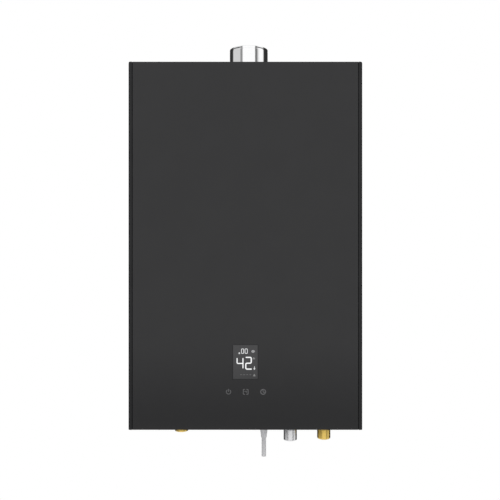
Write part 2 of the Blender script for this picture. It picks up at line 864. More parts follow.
@dataclass
class Part:
    """What every sub-assembly shares."""

    frame: dict
    weld_reach: float = 2e-6
    flat_angle: float = 0.5
    fold_angle: float = 40.0
    smooth_angle: float = 32.0

    def put(self, piece: bpy.types.Object, body: str, finish: Finish, slot: str,
            *nodes: str) -> bpy.types.Object:
        """Dresses a new piece and makes it ride on a body.

        Args:
            piece: The piece.
            body: The body that it moves with.
            finish: Its finish.
            slot: The record's slot of that finish.
            nodes: The nodes that it stands for.

        Returns:
            The piece.
        """
        piece.data.materials.append(finish.material())
        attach(piece, body)
        if nodes:
            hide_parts(*nodes)
        LOG.info("%s rides on %s", piece.name, body)
        return piece

    def fix(self, shape: Shape, name: str, finish: Finish, slot: str, *nodes: str) -> bpy.types.Object:
        """Makes a piece of the chassis from a shape and returns it."""
        return self.put(shape.mesh(name), "chassis", finish, slot, *nodes)

    def front(self, shape: Shape, name: str, finish: Finish, slot: str, *nodes: str) -> None:
        """Makes a piece of the front cover from a shape."""
        self.put(shape.mesh(name), "front_cover", finish, slot, *nodes)

    def keep(self, finish: Finish, *names: str, soft: float = 0.0) -> None:
        """Keeps CAD nodes and gives them a finish and smooth shading.

        Args:
            finish: The finish.
            names: The nodes.
            soft: The width of their soft edges, where they have any.
        """
        for name in names:
            piece = self.frame["nodes"][name]
            piece.data.materials.clear()
            piece.data.materials.append(finish.material())
            piece.modifiers.new("weld", "WELD").merge_threshold = self.weld_reach
            if soft:
                whole = piece.modifiers.new("whole faces", "DECIMATE")
                whole.decimate_type, whole.angle_limit = "DISSOLVE", math.radians(self.flat_angle)
                edge = piece.modifiers.new("soft edges", "BEVEL")
                edge.width, edge.segments, edge.use_clamp_overlap = soft * MM, 2, True
                edge.limit_method, edge.angle_limit = "ANGLE", math.radians(self.fold_angle)
            piece.modifiers.new("smooth", "NODES").node_group = self.smoother()
            if soft:
                flats = piece.modifiers.new("flat faces", "WEIGHTED_NORMAL")
                flats.mode, flats.weight, flats.keep_sharp = "FACE_AREA", 100, True
            LOG.info("%s keeps its solid, in %s", name, finish.name)

    def smoother(self) -> bpy.types.NodeTree:
        """Makes the modifier that shades a mesh smooth up to an angle, once.

        Returns:
            Its node group.
        """
        name = "smooth by angle"
        if name in bpy.data.node_groups:
            return bpy.data.node_groups[name]
        tree = bpy.data.node_groups.new(name, "GeometryNodeTree")
        for way in ("INPUT", "OUTPUT"):
            tree.interface.new_socket("Mesh", in_out=way, socket_type="NodeSocketGeometry")
        nodes = Nodes(tree)
        bend = {0: nodes.add("GeometryNodeInputMeshEdgeAngle").outputs["Unsigned Angle"],
                1: math.radians(self.smooth_angle)}
        sharp = nodes.add("FunctionNodeCompare", bend, data_type="FLOAT", operation="GREATER_THAN")
        given = {"Mesh": nodes.add("NodeGroupInput").outputs[0], "Remove Custom": True,
                 "Edge Sharpness": sharp.outputs[0]}
        shade = nodes.add("GeometryNodeSetMeshNormal", given, mode="SHARPNESS")
        nodes.add("NodeGroupOutput", {0: shade.outputs[0]})
        return tree


@dataclass
class PowerLead(Part):
    """The lead below the casing, its boot and its cut end."""

    x: float = 29.0
    y: float = -70.0
    top: float = -275.0
    length: float = 60.0
    thick: float = 7.0
    bare: float = 0.3
    core_off: float = 1.5
    lengths: int = 20

    def build(self) -> None:
        """Makes the lead as a cord, then its cores and boot."""
        curve = bpy.data.curves.new("power_lead_sheath", "CURVE")
        curve.dimensions, curve.use_fill_caps = "3D", True
        curve.bevel_depth, curve.bevel_resolution = self.thick / 2 * MM, 6
        line = curve.splines.new("POLY")
        line.points.add(self.lengths)
        for i, point in enumerate(line.points):
            z = self.top - (self.length - self.bare) * i / self.lengths
            point.co = (self.x * MM, self.y * MM, z * MM, 1.0)
        cord = self.put(linked("power_lead_sheath", curve), "chassis", Finishes.SHEATH, "lead", "power_lead")
        profile = [(0.0, 0.0), (1.15, 0.0), (1.25, 0.1), (1.25, 0.4), (0.0, 0.4)]
        places = arc(self.x, self.y, self.core_off, 90.0, 240.0, 2)
        finishes = (Finishes.BROWN_WIRE, Finishes.BLUE_WIRE, Finishes.GREEN_WIRE)
        for i, (at, finish) in enumerate(zip(places, finishes)):
            core = Shape().lathe(profile, (*at, self.top - self.length), steps=24, loop=False)
            self.fix(core, f"power_lead_core_{i + 1}", finish, "lead")
        boot = Shape().lathe([
            (3.7, -269.7), (8.6, -269.7), (9.0, -270.1), (9.0, -272.7), (7.0, -272.7), (7.0, -273.7),
            (7.7, -273.7), (8.0, -274.0), (8.0, -276.4), (7.8, -276.9), (7.1, -281.0), (6.2, -289.0),
            (5.7, -294.0), (5.2, -297.0), (4.75, -300.5), (4.4, -304.2), (4.1, -304.9), (3.7, -305.0)],
            (self.x, self.y, 0.0), steps=64)
        self.fix(boot, "power_boot_moulding", Finishes.BOOT, "boot", "power_boot")


@dataclass
class FrontCover(Part):
    """The cover's shell, its glass front, its trims and the printed keys."""

    half_width: float = 169.0
    height: float = 550.0
    face: float = -139.98
    back: float = -136.0
    chamfer: Point = (0.7, 0.65, 0.2)
    window: Point = (38.3, 52.4, -173.6)
    glass_angle: float = 8.0
    print_face: float = -140.0
    print_width: float = 1.1
    key_z: float = -218.1
    key_x: Point = (-25.1, 0.5, 26.5)

    def build(self) -> None:
        """Makes the glass and the prints, and dresses the shell."""
        self.keep(Finishes.PAINT, "cover_shell")
        self.keep(Finishes.TRIM, "edge_trims")
        wide, tall, z = self.window
        slant, deep, rim = self.chamfer
        width, y = 2 * self.half_width, self.face
        rows = ((width, self.height, 0.3, 0.0, self.back), (width, self.height, 0.3, 0.0, y + deep),
                (width - 2 * slant, self.height - 2 * rim, 0.3, 0.0, y), (wide + 0.3, tall + 0.3, 0.4, z, y),
                (wide, tall, 0.3, z, y + 0.15), (wide, tall, 0.3, z, self.back))
        glass = Shape().layers([(rounded(a, b, r, (0.0, at)), depth) for a, b, r, at, depth in rows])
        self.put(glass.mesh("front_glass", self.glass_angle), "front_cover", Finishes.GLASS, "panel_glass",
                 "front_panel")
        self.prints()

    def prints(self) -> None:
        """Prints the three key symbols: power, two brackets with a small mark, dial."""
        marks = Marks(self.print_face, self.face + 0.05)
        z, t = self.key_z, self.print_width
        x, middle, last = self.key_x
        marks.hoop((x, z), 3.3, t, 120.0, 300.0)
        marks.stroke([(x, z + 4.0), (x, z + 0.4)], t)
        for s in (-1, 1):
            near, far = middle + s * 1.4, middle + s * 3.6
            marks.stroke([(near, z + 3.6), (far, z + 3.6), (far, z - 3.6), (near, z - 3.6)], t, 0.8)
        marks.stroke([(middle - 1.4, z + 0.6), (middle + 1.4, z + 0.6), (middle + 1.4, z - 1.0)], t, 0.3)
        marks.hoop((last, z), 3.6, 1.3 * t)
        marks.stroke([(last, z + 2.4), (last, z), (last + 1.8, z - 1.0)], 1.2 * t, 0.2)
        self.front(marks, "key_symbols", Finishes.PRINT, "panel_glass")


@dataclass
class DisplayUnit(Part):
    """The display's window, lit marks, housing and board."""

    z: float = -173.6
    width: float = 38.0
    height: float = 52.1
    face: float = -139.8
    lit: float = -139.95
    back: float = -135.0
    board_back: float = -127.4
    digit_line: float = 1.55

    def build(self) -> None:
        """Makes the window and its marks, and dresses what is behind them."""
        rows = ((0.0, self.back), (0.0, self.face + 0.15), (0.05, self.face + 0.04), (0.15, self.face))
        lines = [rounded(self.width - 2 * k, self.height - 2 * k, 0.3, (0.0, self.z)) for k, _ in rows]
        pane = Shape().layers(zip(lines, (y for _, y in rows)), False, caps=True)
        self.front(pane, "display_pane", Finishes.WINDOW, "window", "display_window")
        self.digits()
        self.icons()
        self.keep(Finishes.DARK, "display_housing", soft=0.4)
        self.keep(Finishes.CIRCUIT, "display_board")
        self.keep(Finishes.PADS, "touch_pads", soft=0.3)
        self.components()

    def digits(self) -> None:
        """Lights the two large digits, and the small ones above them."""
        large = Marks(self.lit, self.face)
        z, t = self.z - 2.1, self.digit_line
        left, right = -12.4, -3.6
        large.stroke([(left, z + 7.3), (left, z), (right - 1.0, z)], t, 1.8)
        large.stroke([(right, z + 7.3), (right, z - 6.6)], t)
        left, right = 0.6, 8.8
        middle, up = z + 0.3, 8.75
        large.stroke([(left + 0.6, middle + up), (right, middle + up), (right, middle), (left, middle),
                      (left, middle - up), (right, middle - up)], 1.15 * t, 2.2)
        self.front(large, "temperature_digits", Finishes.LIT, "lit_digits", "display_digits")
        small = Marks(self.lit, self.face)
        z = self.z + 16.25
        for x, wide in ((-4.2, 4.3), (1.25, 4.6)):
            outer, inner = rounded(wide, 7.8, 1.6, (x, z)), rounded(wide - 2.1, 5.7, 0.6, (x, z))
            small.rim(outer, inner, self.lit, self.face)
        dot = [(0.0, self.lit), (1.1, self.lit), (1.25, self.lit + 0.03), (1.25, self.face), (0.0, self.face)]
        small.lathe(dot, (-9.0, 0.0, z - 3.1), Axis.Y, 20, False)
        self.front(small, "small_digits", Finishes.LIT_DIM, "lit_digits")

    def icons(self) -> None:
        """Lights the small marks at the window's right and along its bottom."""
        soft, bright, faint = (Marks(self.lit, self.face) for _ in range(3))
        x, z = 11.5, self.z + 15.9
        for k in (-1, 1):
            soft.stroke([(x - 2.3, z), (x, z + 2.0 * k), (x + 2.3, z)], 0.9, 1.6)
        soft.hoop((x, z), 0.4, 0.7)
        self.front(soft, "display_soft_mark", Finishes.LIT_SOFT, "lit_digits")
        x, z = 13.5, self.z
        bright.stroke([(x, z - 6.9), (x, z - 9.2)], 1.0)
        bright.hoop((x, z - 9.9), 0.65, 1.2)
        bright.stroke([(x, z - 10.9), (x, z - 11.4)], 0.8)
        self.front(bright, "display_marks", Finishes.LIT_DIM, "lit_digits")
        x, low = 12.6, z - 20.9
        faint.stroke([(x - 1.6, z + 4.4), (x - 0.1, z + 6.6), (x + 1.4, z + 4.4)], 0.9, 0.2)
        faint.stroke([(x - 0.8, low), (x + 0.6, low + 2.7), (x + 2.0, low), (x - 0.5, low)], 0.8, 0.2)
        for i in range(4):
            faint.stroke([(-7.6 + 4.6 * i, z - 19.0), (-5.4 + 4.6 * i, z - 19.0)], 0.35)
        self.front(faint, "display_faint_marks", Finishes.LIT_FAINT, "lit_digits")

    def components(self) -> None:
        """Puts components on the board's back."""
        y = self.board_back
        chips = Shape()
        chips.block((-14.0, y, -171.0), (2.0, y + 2.2, -155.0), 0.3)
        chips.block((12.0, y, -168.0), (20.0, y + 1.8, -162.0), 0.3)
        chips.block((-34.0, y, -222.0), (-20.0, y + 7.0, -214.0), 0.5)
        can = [(0.0, 0.0), (4.5, 0.0), (4.6, 0.4), (4.6, 5.6), (4.2, 6.0), (0.0, 6.0)]
        for z in (-190.0, -203.0):
            chips.lathe(can, (26.0, y, z), Axis.Y, 40, False)
        self.front(chips, "display_board_components", Finishes.COIL, "dark_plastic")
        tins = Shape()
        for i, s in product(range(8), (-1, 1)):
            x, z = -13.4 + 2.0 * i, -163.0 + s * 8.2
            tins.block((x, y, z - 0.7), (x + 0.8, y + 0.7, z + 0.7), 0.1)
        for i in range(6):
            tins.block((-4.0 + 5.0 * i, y, -226.0), (-1.6 + 5.0 * i, y + 0.8, -224.6), 0.15)
        self.front(tins, "display_board_pins", Finishes.FASTENER, "fasteners")


@dataclass
class FlueOutlet(Part):
    """The flue spigot with its flange, gasket and damper."""

    x: float = 5.0
    y: float = -75.0
    bore: float = 29.0
    r: float = 30.0
    flange: float = 274.7
    pin_y: float = -71.0
    pin_z: float = 262.7
    pin_r: float = 2.05
    screw_r: float = 2.1

    def build(self) -> None:
        """Turns the spigot and dresses the gasket and damper."""
        x, y, z, r = self.x, self.y, self.pin_z, self.r
        spigot = Shape().lathe([
            (self.bore, 241.0), (29.6, 241.0), (r, 241.4), (r, self.flange), (43.7, self.flange),
            (44.0, 275.0), (44.0, 275.9), (43.6, 276.2), (31.2, 276.2), (30.45, 276.5), (r, 277.2),
            (r, 278.0), (r, 304.6), (r, 305.2), (29.9, 306.2), (29.75, 306.8), (29.9, 307.4), (r, 308.2),
            (r, 309.2), (29.85, 309.75), (29.5, 310.0), (29.15, 309.75), (self.bore, 309.2)],
            (x, y, 0.0), steps=128)
        spigot.block((x - 4.0, y - 29.5, z - 2.7), (x + 4.0, y - 25.5, z - 0.7), 0.3)
        holes = Shape().lathe([(0.0, -40.0), (self.pin_r, -40.0), (self.pin_r, 40.0), (0.0, 40.0)],
                              (x, self.pin_y, z), Axis.X, 32, False)
        hole = [(0.0, -1.0), (self.screw_r, -1.0), (self.screw_r, 3.0), (0.0, 3.0)]
        for at in self.screws():
            holes.lathe(hole, (*at, self.flange), steps=32, loop=False)
        piece = bored(spigot.mesh("flue_spigot"), holes.mesh("flue_holes"))
        self.put(piece, "chassis", Finishes.POLISHED, "polished_steel", "flue_collar")
        self.keep(Finishes.GASKET, "flue_gasket", soft=0.2)
        self.keep(Finishes.STEEL, "flue_damper", "damper_pin", soft=0.2)

    @classmethod
    def screws(cls) -> list[Flat]:
        """Returns the places of the flange's three screws."""
        return arc(cls.x, cls.y, 37.0, 30.0, 240.0, 2)


@dataclass
class PipeFittings(Part):
    """The three pipe stubs, their lock nuts and the drain plug."""

    y: float = -70.0
    gas_x: float = -102.0
    cold_x: float = 71.0
    hot_x: float = 124.4
    plug_y: float = -43.2
    major: float = 10.4775
    land: float = 10.1775
    nut_bore: float = 10.2775
    bore: float = 7.0
    pitch: float = 1.814
    thread_r: float = 10.45
    thread_low: float = -291.5
    thread_top: float = -279.4
    thread_deep: float = 0.9
    top: float = -261.7
    land_low: float = -279.2
    wall_top: float = -279.3
    wall_low: float = -291.6
    grip_r: float = 8.3
    grip_low: float = -283.2
    grip_top: float = -274.6
    floor: float = -272.7
    nut_low: float = -278.7

    def build(self) -> None:
        """Turns the stubs and nuts, and the plug's knob."""
        hot = self.stub(self.hot_x, -306.5, 2.5)
        hot.lathe([(5.0, -262.7), (10.6, -262.7), (11.0, -262.3), (11.0, -240.2), (10.5, -239.7),
                   (6.25, -239.7), (6.25, -251.7), (5.0, -251.7)], (self.hot_x, self.y, 0.0), steps=64)
        gas, cold = self.stub(self.gas_x, -294.0, 1.0), self.stub(self.cold_x, -308.5, 1.4)
        self.fix(gas, "gas_inlet_turned", Finishes.BRASS, "brass", "gas_inlet")
        self.fix(cold, "cold_inlet_turned", Finishes.CHROME, "chrome", "cold_inlet")
        self.fix(hot, "hot_outlet_turned", Finishes.BRASS, "brass", "hot_outlet")
        nuts = Shape()
        profile = [(self.nut_bore, -273.7), (14.4, -273.7), (15.7, -274.4), (15.7, -278.0),
                   (14.4, self.nut_low), (10.9, self.nut_low), (self.nut_bore, -278.2)]
        for x in (self.gas_x, self.cold_x, self.hot_x):
            nuts.lathe(profile, (x, self.y, 0.0), steps=96, form=hexagon(27.0))
        self.fix(nuts, "lock_nuts", Finishes.BRASS, "brass", "connection_nuts")
        self.plug()

    def thread(self, turn: float, r: float, height: float) -> float:
        """Cuts a thread into a stub's outer wall.

        Args:
            turn: The angle.
            r: The radius there.
            height: The height.

        Returns:
            The new radius.
        """
        if r < self.thread_r or not self.thread_low < height < self.thread_top:
            return r
        fade = min(1.0, (self.thread_top - height) / 0.8, (height - self.thread_low) / 1.6)
        phase = (height / self.pitch - turn / (2 * math.pi)) % 1.0
        return r - self.thread_deep * fade * min(1.0, 2.4 * abs(phase - 0.5))

    def stub(self, x: float, tip: float, soft: float) -> Shape:
        """Turns a stub with a hexagon inside the casing and a thread under its nut.

        Args:
            x: Its sideways place.
            tip: Its lowest point.
            soft: The radius of its lower edge.

        Returns:
            The shape.
        """
        nose = arc(self.major - soft, tip + soft, soft, 0.0, -90.0, 6)
        low, top = max(self.wall_low, tip + soft + 0.05), self.wall_top
        count = int((top - low) / (self.pitch / 10))
        wall = [(self.major, top + (low - top) * i / count) for i in range(count + 1)]
        inside = [(self.bore, self.top), (self.land, self.top), (self.land, self.land_low)]
        mouth = [(self.bore + 0.5, tip), (self.bore, tip + 0.5)]
        at = (x, self.y, 0.0)
        shape = Shape().lathe(inside + wall + nose + mouth, at, steps=96, form=self.thread)
        flats = collar(10.0, 15.1, self.floor, self.floor + 6.0, (1.5, 0.8, 0.8))
        return shape.lathe(flats, at, steps=96, form=hexagon(26.0))

    def plug(self) -> None:
        """Makes the drain plug with a fluted knob."""
        def flutes(turn: float, r: float, height: float) -> float:
            """Cuts grip flutes into the knob."""
            grip = r > self.grip_r and self.grip_low < height < self.grip_top
            return r - 0.8 * max(0.0, math.cos(12 * turn)) ** 2 if grip else r
        knob = Shape().lathe([
            (0.0, -247.7), (5.0, -247.7), (5.8, -248.5), (5.8, -252.0), (5.0, -252.5), (5.0, -255.0),
            (5.8, -255.5), (5.8, -273.9), (8.6, -273.9), (9.0, -274.3), (9.0, -274.9), (9.0, -279.0),
            (9.0, -282.8), (8.6, -283.5), (8.0, -283.9), (3.0, -283.9), (2.6, -283.2), (0.0, -283.2)],
            (self.cold_x, self.plug_y, 0.0), steps=96, loop=False, form=flutes)
        self.put(knob.mesh("drain_knob"), "drain_plug", Finishes.DARK, "dark_plastic", "drain_plug")


@dataclass
class Chassis(Part):
    """The back plate, the two end panels and the screws."""

    cover_x: float = 130.0
    cover_y: float = -129.0
    top: float = 275.2
    flange_top: float = 276.2
    back_x: float = 119.7
    back_y: float = -2.2
    back_z: float = 266.7
    pitch: float = 0.7

    def build(self) -> None:
        """Dresses the panels and makes the screws."""
        self.keep(Finishes.ZINC, "back_plate", "top_panel", "bottom_panel")
        screws = Shape()
        rows = [((x, self.cover_y, s * self.top), Axis.Z, s, 10.0)
                for x, s in product((-self.cover_x, self.cover_x), (-1, 1))]
        rows += [((*at, self.flange_top), Axis.Z, 1, 9.0) for at in FlueOutlet.screws()]
        rows += [((s * self.back_x, self.back_y, v * self.back_z), Axis.Y, -1, 2.2)
                 for s, v in product((-1, 1), (-1, 1))]
        for at, axis, way, length in rows:
            screws.screw_head(at, axis, way)
            screws.lathe(self.shank(length, -way), at, axis, 32, False)
        self.fix(screws, "panel_screws", Finishes.FASTENER, "fasteners", "screws")

    def shank(self, length: float, way: int) -> list[Flat]:
        """Gives the profile of a threaded shank.

        Args:
            length: Its length.
            way: Which way along the axis it goes.

        Returns:
            The profile.
        """
        profile = [(0.0, 0.0), (2.0, 0.0)]
        for i in range(max(int(length / self.pitch) - 1, 1)):
            profile += [(2.0, way * (0.2 + self.pitch * i)), (1.6, way * (0.55 + self.pitch * i))]
        return profile + [(1.6, way * (length - 0.5)), (1.0, way * length), (0.0, way * length)]


@dataclass
class BurnerStack(Part):
    """The burner, chamber, heat exchanger and hood."""

    half: float = 100.0
    face: float = -116.0
    sheet_angle: float = 20.0

    def build(self) -> None:
        """Dresses the stack and adds its seam screws."""
        self.keep(Finishes.ZINC, "exhaust_hood", "burner_box", soft=0.4)
        self.keep(Finishes.COPPER, "exchanger_shell", soft=0.3)
        self.keep(Finishes.HEATED, "combustion_chamber", soft=0.3)
        self.keep(Finishes.COPPER, "exchanger_fins", "exchanger_tubes", "water_coil")
        self.keep(Finishes.BURNT, "burner_bars", soft=0.3)
        seams = Shape()
        for z, x in product((-27.0, 138.0, 182.0, 198.0), (-88.0, -44.0, 0.0, 44.0, 88.0)):
            seams.screw_head((x, self.face, z), r=3.2, h=1.8)
        self.fix(seams, "stack_screws", Finishes.FASTENER, "fasteners")
        self.sheet_work()

    def sheet_work(self) -> None:
        """Adds the folded lips between the stack's parts and the pressed beads on them."""
        y = self.face
        for name, finish, slot, lips, beads in (
                ("burner_lip", Finishes.ZINC, "zinc_sheet", (-21.9,), ((-92.0, -37.0, 92.0, -31.0),)),
                ("chamber_lips", Finishes.HEATED, "copper", (-20.1, 128.3),
                 ((-80.0, 50.5, 80.0, 59.5), (-80.0, 100.0, 34.0, 109.0))),
                ("exchanger_lips", Finishes.COPPER, "copper", (130.1, 188.3), ((-90.0, 151.0, 90.0, 169.0),)),
                ("hood_lip", Finishes.ZINC, "zinc_sheet", (190.1,), ((-34.0, 208.0, 44.0, 236.0),))):
            shape = Shape()
            for z in lips:
                shape.block((-self.half, y - 4.0, z), (self.half, y + 0.1, z + 1.6), 0.3)
            for x0, z0, x1, z1 in beads:
                shape.bead((x0, z0), (x1, z1), y - 1.2, y + 0.1, 1.6)
            self.put(shape.mesh(name, self.sheet_angle), "chassis", finish, slot)


@dataclass
class BlowerUnit(Part):
    """The fan that feeds the burner."""

    x: float = -15.0
    z: float = -130.0
    face: float = -100.0

    def build(self) -> None:
        """Dresses the fan and adds its screws and inlet lip."""
        self.keep(Finishes.SHEET, "fan_housing", "fan_cover", soft=0.3)
        self.keep(Finishes.SHEET, "fan_wheel")
        self.keep(Finishes.STEEL, "fan_shaft")
        self.keep(Finishes.MOTOR, "fan_motor", soft=0.8)
        screws = Shape()
        for angle, r in ((135, 40.0), (200, 44.0), (265, 44.0), (330, 49.0)):
            turn = math.radians(angle)
            at = (self.x + r * math.cos(turn), self.face, self.z + r * math.sin(turn))
            screws.screw_head(at, r=3.0, h=1.7)
        self.fix(screws, "fan_screws", Finishes.FASTENER, "fasteners")
        lip = arc(28.2, self.face - 0.9, 1.6, 0.0, 360.0, 16)[:-1]
        ring = Shape().lathe(lip, (self.x, 0.0, self.z), Axis.Y, 96)
        self.fix(ring, "fan_inlet_lip", Finishes.SHEET, "fan_sheet")


@dataclass
class GasTrain(Part):
    """The gas valve, its coils and the way to the burner."""

    shut_x: float = -113.0
    pipe_x: float = -86.0
    y: float = -70.0
    face: float = -100.0
    valve_top: float = -194.7
    spring_r: float = 6.7
    spring_ends: Flat = (-210.9, -195.4)
    spring_turns: int = 5
    wire: float = 1.2
    winding: Flat = (-190.4, -159.0)
    winding_turns: int = 24
    winding_angle: float = 60.0

    def build(self) -> None:
        """Dresses the valve and winds its spring."""
        self.keep(Finishes.CAST, "gas_valve_body", "gas_manifold", soft=1.0)
        self.keep(Finishes.CAST, "gas_pipe")
        self.keep(Finishes.BRASS, "gas_nozzles", soft=0.3)
        self.keep(Finishes.COIL, "valve_coil", "modulating_coil", soft=0.5)
        self.keep(Finishes.STEEL, "valve_plunger", "modulating_plunger", soft=0.3)
        low, high = self.spring_ends
        count = self.spring_turns * 24
        turns = arc(self.shut_x, self.y, self.spring_r, 0.0, 360.0 * self.spring_turns, count)
        line = [(x, y, low + (high - low) * i / count) for i, (x, y) in enumerate(turns)]
        coil = Shape().tube(line, self.wire / 2 * 0.98, 12)
        spring = self.fix(coil, "return_spring", Finishes.STEEL, "steel", "valve_spring")
        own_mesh(spring)
        self.fittings()

    def fittings(self) -> None:
        """Adds the union nuts on the gas pipe, the coil's winding and yoke, the pressure taps and screws."""
        nuts = Shape()
        nuts.lathe(collar(6.1, 11.4, 0.1, 10.0, (0.8, 0.6, 0.7)), (self.pipe_x, self.y, self.valve_top),
                   form=hexagon(20.0))
        nuts.lathe(collar(6.1, 10.4, -12.0, -0.1, (0.8, 0.7, 0.9)), (self.pipe_x, -123.0, -58.0),
                   form=hexagon(18.0))
        self.fix(nuts, "gas_union_nuts", Finishes.BRASS, "brass")
        low, high = self.winding
        count = 2 * self.winding_turns
        wound = [(14.05 + 0.55 * (k % 2), low + (high - low) * k / count) for k in range(count + 1)]
        coil = Shape().lathe([(13.9, low), *wound, (13.9, high)], (self.shut_x, self.y, 0.0), steps=64)
        self.put(coil.mesh("valve_winding", self.winding_angle), "chassis", Finishes.WINDING, "copper")
        yoke = Shape()
        for x in (-131.5, -95.9):
            yoke.block((x, -81.0, -194.6), (x + 1.4, -59.0, -154.8), 0.4)
        yoke.lathe([(0.0, -128.1), (7.0, -128.1), (7.5, -128.6), (7.5, -130.2), (6.8, -130.8), (2.5, -130.8),
                    (2.0, -129.8), (0.0, -129.8)], (-102.0, 0.0, -235.7), Axis.Y, 48, False)
        self.fix(yoke, "valve_yoke", Finishes.FASTENER, "fasteners")
        taps = Shape()
        tap = [(1.2, -1.0), (1.2, -6.0), (3.0, -6.0), (3.4, -5.6), (3.4, 0.0), (1.2, 0.0)]
        for x in (-124.0, -80.0):
            taps.lathe(tap, (x, self.face, -206.0), Axis.Y, 32)
        for x, z in product((-128.0, -76.0), (-256.0, -214.0)):
            taps.screw_head((x, self.face, z), r=2.8, h=1.6)
        self.fix(taps, "valve_taps", Finishes.FASTENER, "fasteners")


@dataclass
class WaterTrain(Part):
    """The flow sensor, its turbine and the pipes."""

    y: float = -70.0
    sensor_x: float = 71.0
    cold_at: Flat = (107.0, -20.0)
    hot_at: Flat = (124.4, -239.7)

    def build(self) -> None:
        """Dresses the water side and adds a union nut, a sleeve, and the sensor's clips, ribs and plug."""
        self.keep(Finishes.DARK, "flow_sensor_body", "temperature_sensors", soft=0.6)
        self.keep(Finishes.PALE, "turbine_bearings")
        self.keep(Finishes.BLUE, "flow_turbine")
        self.keep(Finishes.COPPER, "cold_pipe", "hot_pipe")
        x, z = self.hot_at
        nut = Shape().lathe(collar(6.1, 10.6, 0.1, 9.0, (0.8, 0.7, 0.6)), (x, self.y, z), form=hexagon(18.5))
        self.fix(nut, "hot_union_nut", Finishes.BRASS, "brass")
        x, z = self.cold_at
        sleeve = Shape().lathe([(6.05, -8.0), (6.7, -7.6), (6.7, 7.6), (6.05, 8.0)], (x, self.y, z), steps=48)
        self.fix(sleeve, "cold_sleeve", Finishes.COPPER, "copper")
        at = (self.sensor_x, self.y, 0.0)
        clips = Shape()
        for z in (-190.5, -196.5):
            clips.lathe(arc(10.85, z, 0.8, 0.0, 360.0, 12)[:-1], at, steps=64)
        self.fix(clips, "sensor_clips", Finishes.FASTENER, "fasteners")
        ribs = Shape()
        for z in (-214.0, -208.0, -202.5):
            ribs.lathe([(16.9, z), (18.0, z + 0.3), (18.0, z + 1.5), (16.9, z + 1.8)], at, steps=64)
        self.fix(ribs, "sensor_ribs", Finishes.DARK, "dark_plastic")
        plug = Shape().block((66.0, -95.5, -241.0), (76.0, -91.9, -229.0))
        plug.block((64.8, -93.4, -242.2), (77.2, -91.9, -227.8), 0.4)
        self.fix(plug, "sensor_plug", Finishes.PALE, "pale_plastic")


